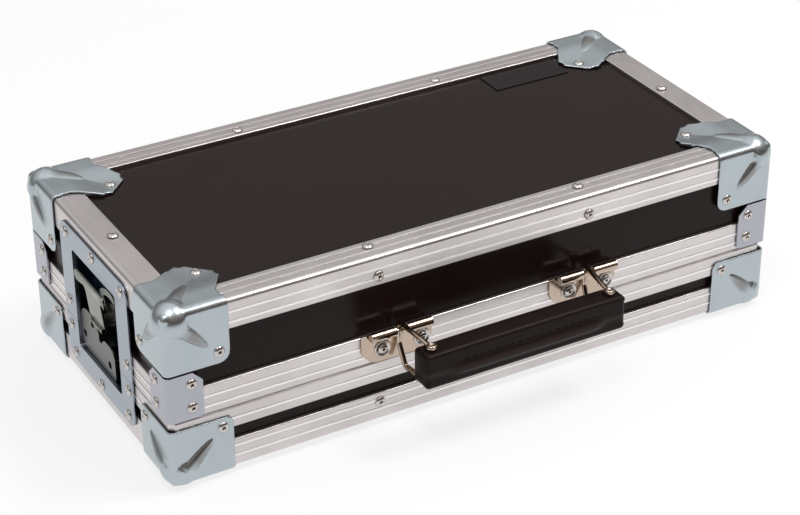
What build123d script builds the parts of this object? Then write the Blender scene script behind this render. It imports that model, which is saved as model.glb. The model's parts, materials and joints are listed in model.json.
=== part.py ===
from build123d import *
import os
from math import cos, hypot, radians, sin

os.makedirs("parts", exist_ok=True)

# A flight case for guitar pedals: a shallow base and a lift-off lid, both of laminated
# plywood in aluminium edges. X runs along the case, Y from the handle side to the back
# and Z up. The origin is the middle of the bottom panel's outer face. All in millimetres.

# The case over its aluminium edges
case_length = 480.0
case_width = 227.0
case_height = 130.0
seam_height = 48.0
seam_gap = 0.3
panel_thickness = 6.5

# Edge profiles, on the twelve edges of the top and the bottom
edge_leg = 22.0
edge_step = 2.8
edge_radius = 3.5
upright_radius = 2.0
edge_tip_radius = 0.8
rib_width = 1.6
rib_height = 0.35
edge_rib_places = (9.3, 17.0)
bar_end_radius = 7.0
rib_clearance = 0.05

# Rim profiles, a channel over the panel edges on each side of the seam
base_rim_height = 16.0
lid_rim_height = 22.2
rim_inner_leg = 1.2
rim_lip_radius = 1.3
base_rim_ribs = (8.8,)
lid_rim_ribs = (6.2, 13.9)
base_cap = 2.0
lid_cap = 5.0
tongue_width = 2.0
tongue_height = 3.0
tongue_inset = 5.4
tongue_clearance = 0.4

# Ball corners
corner_sheet = 1.5
corner_width = 45.0
lid_corner_height = 44.5
base_corner_height = 42.6
lid_corner_round = 8.0
base_corner_round = 5.0
ball_radius = 14.0
ball_inset = 9.0
ridge_length = 31.0
ridge_end_radius = 9.3
lobe_width = 44.0
lobe_straight = 14.0
lobe_bulge = (50.0, 24.0)
lobe_shoulder = (56.0, 33.5)
lobe_notch = (54.2, 36.8)
lobe_tip = (55.0, 40.0)

# Angle brackets on the upright edges of the lid
bracket_width = 24.5
bracket_gap = 1.0
bracket_lift = 1.5
bracket_clip = 7.0
bracket_round = 3.0

# Rivets
rivet_hole_radius = 2.05
rivet_shank_radius = 2.0
rivet_head_radius = 4.0
rivet_head_height = 1.7
rivet_tail_radius = 2.9
rivet_tail_height = 1.3
edge_rivet_x = 83.8
edge_rivet_inset = 15.0
corner_rivet_side = 37.0
corner_rivet_drop = 35.5
lobe_rivet_inset = 43.3
bracket_rivet_inset = 16.3
bracket_rivet_rise = 8.5
bracket_rivet_drop_share = 0.243
washer_radius = 5.2
washer_thickness = 0.8

# Latches, one in a pressed dish at each end, parted at the seam
dish_plate_width = 114.0
dish_plate_bottom = 11.0
dish_plate_drop = 7.0
dish_plate_radius = 10.0
dish_sheet = 1.2
dish_width = 74.0
dish_bottom = 28.5
dish_drop = 23.5
dish_depth = 14.0
dish_corner_radius = 3.0
dish_fit = 0.3
dish_rim_rivet_y = 49.5
dish_rim_rivet_rise = 12.0
dish_rim_rivet_drop = 8.5
dish_top_rivet_y = 47.0
dish_top_rivet_drop = 14.5
dish_bottom_rivet_y = 46.0
dish_bottom_rivet_height = 18.0
dish_middle_rivet_step = 2.0

# Turning part of a latch
rotor_rise = 16.3
hub_radius = 13.0
hub_thickness = 3.2
hub_gap = 0.3
spindle_radius = 4.0
running_fit = 0.05
spindle_head_radius = 6.5
spindle_head_thickness = 1.2
cam_inner_radius = 19.0
cam_outer_radius = 24.0
cam_front = 8.5
cam_thickness = 3.0
cam_half_angle = 45.0
cam_web_angle = 12.0
hinge_depth = 0.0
ear_inner = 7.0
ear_thickness = 3.0
knuckle_radius = 2.6
wing_pin_radius = 1.2

# Folding wing of a latch
wing_width = 56.0
wing_reach = 35.0
wing_bar_height = 10.0
wing_bar_end_radius = 4.8
wing_neck_width = 25.0
wing_neck_radius = 3.5
wing_foot = 3.4
wing_thickness = 1.6
wing_lean = 6.0
wing_side_gap = 0.4

# Keeper of a latch: a plate with a tall and a low lobe, and the lip that the cam hooks under
keeper_edge_gap = 0.5
keeper_drop = 1.5
keeper_front = 1.0
keeper_sheet = 1.5
keeper_tall_rise = 15.0
keeper_tall_round = 12.0
keeper_low_rise = 5.7
keeper_low_round = 9.0
keeper_low_reach = 21.5
keeper_slit = (1.5, 5.0)
keeper_rotor_gap = 0.5
keeper_lip_half_width = 6.0
keeper_lip_gap = 1.5
keeper_lip_back = 12.5
keeper_hole_radius = 2.8
keeper_holes = ((30.5, -6.5), (16.0, 8.0), (-12.0, -10.0))

# Handle
handle_x = 3.9
handle_plate_x = 75.2
handle_plate_width = 55.0
handle_plate_rise = 0.8
handle_plate_round = 14.0
handle_plate_sheet = 1.5
handle_rivet_places = (-11.4, 19.4)
handle_rivet_rise = 11.0
handle_barrel_length = 47.0
handle_barrel_radius = 3.4
handle_barrel_gap = 9.0
handle_notch_depth = 7.0
handle_pin_radius = 1.5
handle_pin_out = 8.2
handle_pin_rise = 25.5
ring_wire_radius = 2.0
ring_behind_pin = 3.9
ring_eye_x = 70.9
ring_eye_radius = 4.0
ring_fit = 0.3
ring_bend_radius = 3.0
ring_knee_drop = 11.5
ring_foot_out = 12.0
grip_length = 159.0
grip_out = 41.0
grip_depth = 22.0
grip_rise = 0.3
grip_height = 26.6
grip_edge_radius = 7.0
grip_end_radius = 4.5
grip_pin_radius = 2.0
grip_pin_head_radius = 3.4
grip_pin_head_height = 0.9

# Name plate, blank, and the lining on the floor of the base
name_plate_size = (64.0, 25.0, 0.8)
name_plate_inset = (89.5, 37.2)
pad_thickness = 3.0
pad_wall_gap = 2.0

# Worked out from the sizes above; heights are from the underside of the bottom edges
dish_plate_top = case_height - dish_plate_drop
dish_top = case_height - dish_drop
rotor_height = seam_height + rotor_rise
keeper_top = seam_height - keeper_drop
keeper_lip_top = rotor_height - cam_inner_radius + keeper_lip_gap + keeper_sheet
bracket_bottom = seam_height + bracket_lift
bracket_top = case_height - lid_corner_height - bracket_gap
handle_plate_bottom = seam_height + handle_plate_rise
handle_rivet_height = seam_height + handle_rivet_rise
handle_pin_height = seam_height + handle_pin_rise
grip_bottom = seam_height + grip_rise
grip_top = grip_bottom + grip_height
fitting_lift = rib_height + rib_clearance
half_length = case_length / 2
half_width = case_width / 2
base_z = -edge_step
top_z = case_height - edge_step
middle_z = (base_z + top_z) / 2
seam_z = base_z + seam_height
panel_x = half_length - edge_step
panel_y = half_width - edge_step
inner_x = panel_x - panel_thickness
inner_y = panel_y - panel_thickness
top_panel_z = top_z - edge_step
base_rim_top = seam_z - seam_gap / 2
lid_rim_bottom = seam_z + seam_gap / 2
lid_rim_top = lid_rim_bottom + lid_rim_height
base_wall_top = base_rim_top - base_cap
lid_wall_bottom = lid_rim_bottom + lid_cap
rim_depth = edge_step + panel_thickness + rim_inner_leg
sides = {"front": 0, "right": 90, "back": 180, "left": 270}
outward = {
    "front": (0, -1, 0),
    "back": (0, 1, 0),
    "left": (-1, 0, 0),
    "right": (1, 0, 0),
    "top": (0, 0, 1),
    "bottom": (0, 0, -1),
}
corner_signs = {
    "front_left": (-1, -1),
    "front_right": (1, -1),
    "back_left": (-1, 1),
    "back_right": (1, 1),
}


def is_at(value, place):
    return abs(value - place) < 0.01


def raised(height):
    # Heights of fittings are given from the underside of the bottom edges
    return base_z + height


def span(x_limits, y_limits, z_limits):
    limits = (x_limits, y_limits, z_limits)
    middle = [(low + high) / 2 for low, high in limits]
    size = [high - low for low, high in limits]
    return Pos(*middle) * Box(*size)


def rod(start, end, radius):
    line = Line(start, end)
    return extrude(Plane(origin=start, z_dir=line @ 1 - line @ 0) * Circle(radius), line.length)


def mirrored_pair(solid):
    return {"left": solid, "right": mirror(solid, Plane.YZ)}


# ---- Rivets -------------------------------------------------------------------------

def face_point(face, across, along):
    # A point on a panel's outer face: x and z on the long sides, y and z on the ends,
    # x and y on the top and the bottom
    if face in ("front", "back"):
        return Vector(across, panel_y * outward[face][1], along)
    if face in ("left", "right"):
        return Vector(panel_x * outward[face][0], across, along)
    return Vector(across, along, top_panel_z if face == "top" else 0)


def rivet_spot(face, across, along, seat, backing=0.0):
    # seat is how far the head sits off the panel, and backing is metal inside the panel
    direction = Vector(*outward[face])
    place = face_point(face, across, along) + direction * seat
    return {"plane": Plane(origin=place, z_dir=direction), "grip": seat + panel_thickness + backing}


def corner_rivet_spots(height_sign):
    spots = []
    lower = height_sign < 0
    sheet_seat = fitting_lift + corner_sheet
    seat = edge_step + sheet_seat
    backing = rim_inner_leg if lower else 0.0
    level = base_z + corner_rivet_drop if lower else top_z - corner_rivet_drop
    for side_x, side_y in corner_signs.values():
        end = "left" if side_x < 0 else "right"
        long_side = "front" if side_y < 0 else "back"
        spots.append(rivet_spot(end, side_y * (half_width - corner_rivet_side), level, seat, backing))
        spots.append(
            rivet_spot(long_side, side_x * (half_length - corner_rivet_side), level, seat, backing)
        )
        lobe_x = side_x * (half_length - lobe_rivet_inset)
        lobe_y = side_y * (half_width - lobe_rivet_inset)
        spots.append(rivet_spot("bottom" if lower else "top", lobe_x, lobe_y, sheet_seat))
    return spots


def edge_rivet_spots(height_sign):
    spots = []
    lower = height_sign < 0
    level = base_z + edge_rivet_inset if lower else top_z - edge_rivet_inset
    face = "bottom" if lower else "top"
    seat = edge_step + fitting_lift
    for sign_x in (-1, 1):
        for long_side, sign_y in (("front", -1), ("back", 1)):
            spots.append(rivet_spot(long_side, sign_x * edge_rivet_x, level, seat))
            inset_y = sign_y * (half_width - edge_rivet_inset)
            spots.append(rivet_spot(face, sign_x * edge_rivet_x, inset_y, seat))
        spots.append(rivet_spot(face, sign_x * (half_length - edge_rivet_inset), 0, seat))
    return spots


def dish_rivet_spots(lid):
    # Two go through the rim beside the seam and three through the edge's leg
    if lid:
        rim_height = seam_height + dish_rim_rivet_rise
        leg_height = case_height - dish_top_rivet_drop
        leg_y = dish_top_rivet_y
        middle_height = leg_height + dish_middle_rivet_step
    else:
        rim_height = seam_height - dish_rim_rivet_drop
        leg_height = dish_bottom_rivet_height
        leg_y = dish_bottom_rivet_y
        middle_height = leg_height - dish_middle_rivet_step
    seat = edge_step + fitting_lift + dish_sheet
    spots = []
    for face in ("left", "right"):
        for sign in (-1, 1):
            rim_y = sign * dish_rim_rivet_y
            spots.append(rivet_spot(face, rim_y, raised(rim_height), seat, rim_inner_leg))
            spots.append(rivet_spot(face, sign * leg_y, raised(leg_height), seat))
        spots.append(rivet_spot(face, 0, raised(middle_height), seat))
    return spots


def bracket_rivet_spots():
    spots = []
    drop = bracket_rivet_drop_share * (bracket_top - bracket_bottom)
    levels = (raised(bracket_bottom + bracket_rivet_rise), raised(bracket_top - drop))
    seat = edge_step + fitting_lift + corner_sheet
    for side_x, side_y in corner_signs.values():
        end = "left" if side_x < 0 else "right"
        long_side = "front" if side_y < 0 else "back"
        end_y = side_y * (half_width - bracket_rivet_inset)
        side_place = side_x * (half_length - bracket_rivet_inset)
        for level in levels:
            backing = rim_inner_leg if level < lid_rim_top else 0.0
            spots.append(rivet_spot(end, end_y, level, seat, backing))
            spots.append(rivet_spot(long_side, side_place, level, seat, backing))
    return spots


def handle_rivet_spots():
    seat = edge_step + fitting_lift + handle_plate_sheet + washer_thickness
    spots = []
    for sign in (-1, 1):
        for place in handle_rivet_places:
            across = handle_x + sign * handle_plate_x + place
            spots.append(rivet_spot("front", across, raised(handle_rivet_height), seat, rim_inner_leg))
    return spots


def rivet(spot):
    grip = spot["grip"]
    dome_radius = (rivet_head_radius**2 + rivet_head_height**2) / (2 * rivet_head_height)
    dome = RadiusArc((rivet_head_radius, 0), (0, rivet_head_height), -dome_radius)
    stem = Polyline(
        (0, rivet_head_height),
        (0, -grip - rivet_tail_height),
        (rivet_tail_radius, -grip - rivet_tail_height),
        (rivet_tail_radius, -grip),
        (rivet_shank_radius, -grip),
        (rivet_shank_radius, 0),
        (rivet_head_radius, 0),
    )
    profile = make_face(Plane.XZ * (Curve() + [dome, stem]))
    return spot["plane"].location * revolve(profile, Axis.Z)


def hole(spot, radius=rivet_hole_radius):
    length = spot["grip"] + rivet_head_height
    return spot["plane"].location * Pos(0, 0, -length) * extrude(
        Circle(radius), length + rivet_head_height
    )


def drill(solid, spots, radius=rivet_hole_radius):
    box = solid.bounding_box()
    tools = []
    for spot in spots:
        tool = hole(spot, radius)
        reach = tool.bounding_box()
        apart = any(
            high < low
            for high, low in (
                (box.max.X, reach.min.X), (reach.max.X, box.min.X),
                (box.max.Y, reach.min.Y), (reach.max.Y, box.min.Y),
                (box.max.Z, reach.min.Z), (reach.max.Z, box.min.Z),
            )
        )
        if not apart:
            tools.append(tool)
    return solid - tools if tools else solid


# ---- Panels -------------------------------------------------------------------------

def dish_opening(clearance):
    # The block that a latch dish takes up at the left end, with room round it
    half = dish_width / 2 + dish_sheet + clearance
    low = raised(dish_bottom) - dish_sheet - clearance
    high = raised(dish_top) + dish_sheet + clearance
    depth = -half_length + dish_depth + dish_sheet + clearance
    return span((-half_length - edge_step, depth), (-half, half), (low, high))


def side_walls(low, high):
    long_wall = span((-panel_x, panel_x), (-panel_y, -inner_y), (low, high))
    end_wall = span((-panel_x, -inner_x), (-inner_y, inner_y), (low, high))
    end_wall = end_wall - dish_opening(dish_fit)
    ends = mirrored_pair(end_wall)
    return {
        "front": long_wall,
        "back": mirror(long_wall, Plane.XZ),
        "left": ends["left"],
        "right": ends["right"],
    }


def cover_panel(low):
    return span((-panel_x, panel_x), (-panel_y, panel_y), (low, low + panel_thickness))


# ---- Edge and rim profiles ----------------------------------------------------------

def ribbed(profile, rib_boxes):
    for rib_box in rib_boxes:
        profile = profile + rib_box
    return profile


def rib_on_wall(height):
    return Pos(0, height) * Rectangle(2 * rib_height, rib_width)


def edge_profile(with_ribs):
    # x is the distance in from the case's outer plane and y is the height
    outline = Polyline(
        (0, edge_leg), (0, 0), (edge_leg, 0), (edge_leg, edge_step),
        (edge_step, edge_step), (edge_step, edge_leg), close=True,
    )
    profile = make_face(outline)
    outer = profile.vertices().sort_by_distance((0, 0))[0]
    profile = fillet(outer, edge_radius)
    tips = [v for v in profile.vertices() if abs(v.X + v.Y - edge_leg) < 0.01]
    profile = fillet(tips, edge_tip_radius)
    if with_ribs:
        walls = [rib_on_wall(place) for place in edge_rib_places]
        floors = [Pos(place, 0) * Rectangle(rib_width, 2 * rib_height) for place in edge_rib_places]
        profile = ribbed(profile, walls + floors)
    return Pos(0, base_z) * profile


def rim_channel(seam_edge, direction, height, cap, ribs):
    # A channel that opens away from the seam; direction is +1 for the lid, -1 for the base
    far = seam_edge + direction * height
    capped = seam_edge + direction * cap
    outline = Polyline(
        (0, seam_edge), (rim_depth, seam_edge), (rim_depth, far),
        (edge_step + panel_thickness, far), (edge_step + panel_thickness, capped),
        (edge_step, capped), (edge_step, far), (0, far), close=True,
    )
    profile = make_face(outline)
    outer = [v for v in profile.vertices() if v.X < 0.01]
    lip = [v for v in outer if abs(v.Y - seam_edge) < 0.01]
    profile = fillet(lip, rim_lip_radius)
    tip = [v for v in profile.vertices() if v.X < 0.01 and abs(v.Y - far) < 0.01]
    profile = fillet(tip, edge_tip_radius)
    return ribbed(profile, [rib_on_wall(seam_edge + direction * place) for place in ribs])


def base_rim_profile():
    channel = rim_channel(base_rim_top, -1, base_rim_height, base_cap, base_rim_ribs)
    tongue = Pos(tongue_inset + tongue_width / 2, base_rim_top + tongue_height / 2) * Rectangle(
        tongue_width, tongue_height
    )
    return channel + tongue


def lid_rim_profile():
    channel = rim_channel(lid_rim_bottom, 1, lid_rim_height, lid_cap, lid_rim_ribs)
    groove_height = tongue_height + tongue_clearance
    groove_width = tongue_width + 2 * tongue_clearance
    groove = Pos(tongue_inset + tongue_width / 2, lid_rim_bottom + groove_height / 2) * Rectangle(
        groove_width, groove_height
    )
    return channel - groove


def mitred_bar(profile, length, depth):
    # Runs along X with its outer plane at y = 0 and both ends cut at 45 degrees
    bar = extrude(Plane.YZ * profile, length / 2, both=True)
    over = 2 * rib_height
    outline = Polyline(
        (-length / 2 - over, -over), (length / 2 + over, -over),
        (length / 2 - depth, depth), (-length / 2 + depth, depth), close=True,
    )
    prism = Pos(0, 0, base_z - edge_step) * extrude(make_face(outline), case_height + 2 * edge_step)
    return bar & prism


def frame_bars(long_profile, short_profile, depth):
    bars = {}
    around = RectangleRounded(
        case_length + 2 * rib_height, case_width + 2 * rib_height, bar_end_radius
    )
    envelope = Pos(0, 0, base_z - edge_step) * extrude(around, case_height + 2 * edge_step)
    for side, turn in sides.items():
        is_long = side in ("front", "back")
        length = case_length if is_long else case_width
        inset = half_width if is_long else half_length
        bar = mitred_bar(long_profile if is_long else short_profile, length, depth)
        bars[side] = (Rot(0, 0, turn) * Pos(0, -inset, 0) * bar) & envelope
    return bars


def parted_for_dish(bars):
    opening = dish_opening(dish_fit)
    bars["left"] = bars["left"] - opening
    bars["right"] = bars["right"] - mirror(opening, Plane.YZ)
    return bars


# ---- Ball corners and angle brackets ------------------------------------------------

def block(low, high):
    return span((low[0], high[0]), (low[1], high[1]), (low[2], high[2]))


def rounded_block(low, high, flat_radius, corner_radius):
    # Only the edges that meet at the low corner are rounded: the level ones by
    # flat_radius, where it isn't 0, and the upright one by corner_radius
    solid = block(low, high)
    level = []
    for edge in solid.edges():
        middle = tuple(edge.center())
        hits = [is_at(value, place) for value, place in zip(middle, low)]
        if sum(hits) == 2 and hits[2]:
            level.append(edge)
    if flat_radius > 0:
        solid = fillet(level, flat_radius)
    upright = solid.edges().filter_by(Axis.Z).sort_by_distance((low[0], low[1], high[2]))[0]
    return fillet(upright, corner_radius)


def corner_skin(offset):
    # The outside of the case near one corner, grown by offset. The corner of the outer
    # planes is the origin here, and the case lies towards plus on all three axes.
    reach = 1.6 * corner_width
    band = edge_leg + offset
    solid = rounded_block(
        (-offset,) * 3, (reach,) * 3, edge_radius + offset, upright_radius + offset
    )
    return solid - block((band, band, -2 * edge_step), (2 * reach, 2 * reach, edge_step - offset))


def lobe_outline():
    flip = [(y, x) for x, y in (lobe_tip, lobe_notch, lobe_shoulder, lobe_bulge)]
    start = (-ball_radius, -ball_radius)
    lines = [
        Polyline(start, (lobe_width, -ball_radius), (lobe_width, lobe_straight)),
        Spline((lobe_width, lobe_straight), lobe_bulge, lobe_shoulder),
        ThreePointArc(lobe_shoulder, lobe_notch, lobe_tip),
        Line(lobe_tip, flip[0]),
        ThreePointArc(flip[0], flip[1], flip[2]),
        Spline(flip[2], flip[3], (lobe_straight, lobe_width)),
        Polyline((lobe_straight, lobe_width), (-ball_radius, lobe_width), start),
    ]
    return make_face(Curve() + lines)


def side_outline(width, height, radius):
    corner = Polyline(
        (-ball_radius, -ball_radius), (width, -ball_radius), (width, height),
        (-ball_radius, height), close=True,
    )
    face = make_face(corner)
    free = face.vertices().sort_by_distance((width, height))[0]
    return fillet(free, radius)


def ball_and_ridges():
    center = (ball_inset,) * 3
    solid = Pos(*center) * Sphere(ball_radius)
    slant = cos(radians(45))
    for flat in range(3):
        direction = Vector(*[0 if axis == flat else slant for axis in range(3)])
        cone = loft(
            [
                Plane(origin=center, z_dir=direction) * Circle(ball_radius),
                Plane(origin=Vector(*center) + direction * ridge_length, z_dir=direction)
                * Circle(ridge_end_radius),
            ]
        )
        solid = solid + cone
    return solid


def ball_corner(height, free_radius):
    depth = edge_step + 2 * corner_sheet
    above = 2 * corner_sheet
    big = Pos(0, 0, -above) * extrude(lobe_outline(), above + depth)
    side = side_outline(corner_width, height, free_radius)
    # The end plate lies across X and the long-side plate across Y
    end_plate = Pos(-above, 0, 0) * extrude(Plane.YZ * side, above + depth)
    long_plane = Plane(origin=(0, 0, 0), x_dir=(1, 0, 0), z_dir=(0, -1, 0))
    long_plate = Pos(0, -above, 0) * extrude(long_plane * side, -(above + depth))
    inside = corner_skin(fitting_lift)
    sheet = corner_skin(fitting_lift + corner_sheet) - inside
    plates = sheet & (big + end_plate + long_plate)
    proud = ball_and_ridges() - inside
    return plates + proud


def placed_corner(solid, side_x, side_y, lid):
    # Moves a corner from its own frame to one of the eight corners of the case
    if lid:
        solid = mirror(solid, Plane.XY)
    solid = Pos(-half_length, -half_width, top_z if lid else base_z) * solid
    if side_x > 0:
        solid = mirror(solid, Plane.YZ)
    if side_y > 0:
        solid = mirror(solid, Plane.XZ)
    return solid


def angle_bracket():
    low = raised(bracket_bottom)
    high = raised(bracket_top)
    reach = 2 * bracket_width
    skins = [
        rounded_block((-offset, -offset, low), (reach, reach, high), 0, upright_radius + offset)
        for offset in (fitting_lift, fitting_lift + corner_sheet)
    ]
    outline = make_face(
        Polyline(
            (-bracket_width, low), (bracket_width, low), (bracket_width, high - bracket_clip),
            (bracket_width - bracket_clip, high), (-bracket_width, high), close=True,
        )
    )
    foot = outline.vertices().sort_by_distance((bracket_width, low))[0]
    outline = fillet(foot, bracket_round)
    depth = edge_step + 2 * corner_sheet
    long_plane = Plane(origin=(0, 0, 0), x_dir=(1, 0, 0), z_dir=(0, -1, 0))
    along_end = extrude(Plane.YZ * outline, depth, both=True)
    along_side = extrude(long_plane * outline, depth, both=True)
    sheet = (skins[1] - skins[0]) & (along_end + along_side)
    return Pos(-half_length, -half_width, 0) * sheet


# ---- Latches ------------------------------------------------------------------------
# Each is drawn at the left end, where depth runs along plus X from the outer plane.

def at_depth(depth):
    return -half_length + depth


def dish_half(low, high):
    # low and high are the limits of this half; the other half is beyond the seam
    middle = raised((dish_plate_bottom + dish_plate_top) / 2)
    plate_size = (dish_plate_width, dish_plate_top - dish_plate_bottom)
    plate = Plane(origin=(at_depth(-fitting_lift), 0, middle), x_dir=(0, -1, 0), z_dir=(-1, 0, 0))
    flange = extrude(plate * RectangleRounded(*plate_size, dish_plate_radius), dish_sheet)
    hollow_middle = raised((dish_bottom + dish_top) / 2)
    hollow_size = (dish_width, dish_top - dish_bottom)
    hollow = Plane(
        origin=(at_depth(-fitting_lift), 0, hollow_middle), x_dir=(0, 1, 0), z_dir=(1, 0, 0)
    )
    outer_size = [size + 2 * dish_sheet for size in hollow_size]
    outer_radius = dish_corner_radius + dish_sheet
    void_depth = fitting_lift + dish_depth
    tub = extrude(hollow * RectangleRounded(*outer_size, outer_radius), void_depth + dish_sheet)
    void = Pos(-2 * dish_sheet, 0, 0) * extrude(
        hollow * RectangleRounded(*hollow_size, dish_corner_radius), void_depth + 2 * dish_sheet
    )
    part = flange + tub - void
    reach = dish_plate_width
    return part & span((at_depth(-reach), at_depth(reach)), (-reach, reach), (low, high))


def lid_dish():
    dish = dish_half(lid_rim_bottom, top_z)
    bore = rod(
        (at_depth(dish_depth - dish_sheet), 0, raised(rotor_height)),
        (at_depth(dish_depth + 2 * dish_sheet), 0, raised(rotor_height)),
        spindle_radius + running_fit,
    )
    return dish - bore


def cam_sector(inner, outer, start, end):
    # A slice of a ring in the y and z plane; angles are from straight up towards plus y
    turn = end - start
    ring = Circle(outer) - Circle(inner)
    reach = 2 * outer
    steps = (start, start + turn / 2, end)
    fan = [(0, 0)] + [(reach * sin(radians(a)), reach * cos(radians(a))) for a in steps]
    return ring & make_face(Polyline(*fan, close=True))


def latch_rotor():
    height = raised(rotor_height)
    hub_front = dish_depth - hub_gap - hub_thickness
    hub_back = dish_depth - hub_gap
    hub = rod((at_depth(hub_front), 0, height), (at_depth(hub_back), 0, height), hub_radius)
    head_front = dish_depth + dish_sheet + hub_gap
    head_back = head_front + spindle_head_thickness
    spindle = rod((at_depth(hub_front), 0, height), (at_depth(head_back), 0, height), spindle_radius)
    head = rod(
        (at_depth(head_front), 0, height), (at_depth(head_back), 0, height), spindle_head_radius
    )
    cam_plane = Plane(origin=(at_depth(cam_front), 0, height), x_dir=(0, 1, 0), z_dir=(1, 0, 0))
    arc = cam_sector(cam_inner_radius, cam_outer_radius, -cam_half_angle, cam_half_angle)
    web_start = cam_half_angle - cam_web_angle
    web = cam_sector(hub_radius / 2, cam_outer_radius, web_start, cam_half_angle)
    cam = extrude(cam_plane * arc, cam_thickness)
    cam = cam + extrude(cam_plane * web, hub_back - cam_front - hub_gap)
    solid = hub + spindle + head + cam
    for sign in (-1, 1):
        near = sign * ear_inner
        far = sign * (ear_inner + ear_thickness)
        limits = (min(near, far), max(near, far))
        arm = span(
            (at_depth(hinge_depth), at_depth(hub_back)),
            limits,
            (height - knuckle_radius, height + knuckle_radius),
        )
        end = rod(
            (at_depth(hinge_depth), near, height), (at_depth(hinge_depth), far, height), knuckle_radius
        )
        solid = solid + arm + end
    reach = ear_inner + 2 * ear_thickness
    bore = rod(
        (at_depth(hinge_depth), -reach, height), (at_depth(hinge_depth), reach, height),
        wing_pin_radius + running_fit,
    )
    return solid - bore


def wing_pin():
    height = raised(rotor_height)
    reach = ear_inner + ear_thickness
    return rod(
        (at_depth(hinge_depth), -reach, height), (at_depth(hinge_depth), reach, height), wing_pin_radius
    )


def latch_wing():
    # Drawn upright through the hinge axis, then leant outwards about it
    knuckle_half = ear_inner - wing_side_gap
    plane = Plane(origin=(0, 0, 0), x_dir=(0, -1, 0), z_dir=(-1, 0, 0))
    bar_middle = wing_reach - wing_bar_height / 2
    bar = Pos(0, bar_middle) * RectangleRounded(wing_width, wing_bar_height, wing_bar_end_radius)
    neck = Pos(0, (wing_foot + bar_middle) / 2) * Rectangle(wing_neck_width, bar_middle - wing_foot)
    blade = bar + neck
    bar_foot = wing_reach - wing_bar_height
    joins = [v for v in blade.vertices() if is_at(abs(v.X), wing_neck_width / 2)]
    blade = fillet([v for v in joins if is_at(v.Y, bar_foot)], wing_neck_radius)
    root = Pos(0, wing_foot) * Rectangle(2 * knuckle_half, wing_foot)
    plate = extrude(plane * (blade + root), wing_thickness / 2, both=True)
    knuckle = rod((0, -knuckle_half, 0), (0, knuckle_half, 0), knuckle_radius)
    bore = rod((0, -ear_inner, 0), (0, ear_inner, 0), wing_pin_radius + running_fit)
    solid = plate + knuckle - bore
    return Pos(at_depth(hinge_depth), 0, raised(rotor_height)) * Rot(0, -wing_lean, 0) * solid


def keeper_lobe(start, end, bottom, top, radius):
    shape = Pos((start + end) / 2, (bottom + top) / 2) * Rectangle(end - start, top - bottom)
    upper = [v for v in shape.vertices() if is_at(v.Y, top)]
    return fillet(upper, radius)


def keeper_plate():
    bottom = raised(dish_bottom + keeper_edge_gap)
    top = raised(keeper_top)
    tall_edge = dish_width / 2 - keeper_edge_gap
    low_edge = -keeper_low_reach
    tall_top = raised(seam_height + keeper_tall_rise)
    low_top = raised(seam_height + keeper_low_rise)
    outline = keeper_lobe(keeper_slit[1], tall_edge, bottom, tall_top, keeper_tall_round)
    outline = outline + keeper_lobe(low_edge, keeper_slit[0], bottom, low_top, keeper_low_round)
    slit_width = keeper_slit[1] - keeper_slit[0]
    slit_middle = (keeper_slit[0] + keeper_slit[1]) / 2
    outline = outline + Pos(slit_middle, (bottom + top) / 2) * Rectangle(slit_width, top - bottom)
    feet = [v for v in outline.vertices() if is_at(v.Y, bottom)]
    feet = [v for v in feet if is_at(v.X, tall_edge) or is_at(v.X, low_edge)]
    outline = fillet(feet, dish_corner_radius)
    plane = Plane(origin=(at_depth(keeper_front), 0, 0), x_dir=(0, 1, 0), z_dir=(1, 0, 0))
    solid = extrude(plane * outline, keeper_sheet)
    # Room for the ears and the knuckle as they turn
    axis_z = raised(rotor_height)
    turning = hypot(ear_inner + ear_thickness, knuckle_radius) + keeper_rotor_gap
    solid = solid - rod((at_depth(-dish_depth), 0, axis_z), (at_depth(dish_depth), 0, axis_z), turning)
    wall_depth = (at_depth(keeper_front), at_depth(dish_depth))
    wall_level = (bottom + dish_corner_radius, top)
    solid = solid + span(wall_depth, (tall_edge - keeper_sheet, tall_edge), wall_level)
    solid = solid + span(wall_depth, (low_edge, low_edge + keeper_sheet), wall_level)
    lip_half = keeper_lip_half_width
    lip_top = raised(keeper_lip_top)
    front = (at_depth(keeper_front), at_depth(keeper_front + keeper_sheet))
    solid = solid + span(front, (-lip_half, lip_half), (bottom, lip_top))
    lip_depth = (at_depth(keeper_front), at_depth(keeper_lip_back))
    solid = solid + span(lip_depth, (-lip_half, lip_half), (lip_top - keeper_sheet, lip_top))
    for across, rise in keeper_holes:
        level = seam_z + rise
        solid = solid - rod(
            (at_depth(keeper_front - keeper_sheet), across, level),
            (at_depth(keeper_front + 2 * keeper_sheet), across, level),
            keeper_hole_radius,
        )
    return solid


# ---- Handle -------------------------------------------------------------------------
# Distances out are measured from the front plane of the aluminium edges, along minus Y.

def out_front(distance):
    return -half_width - distance


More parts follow.
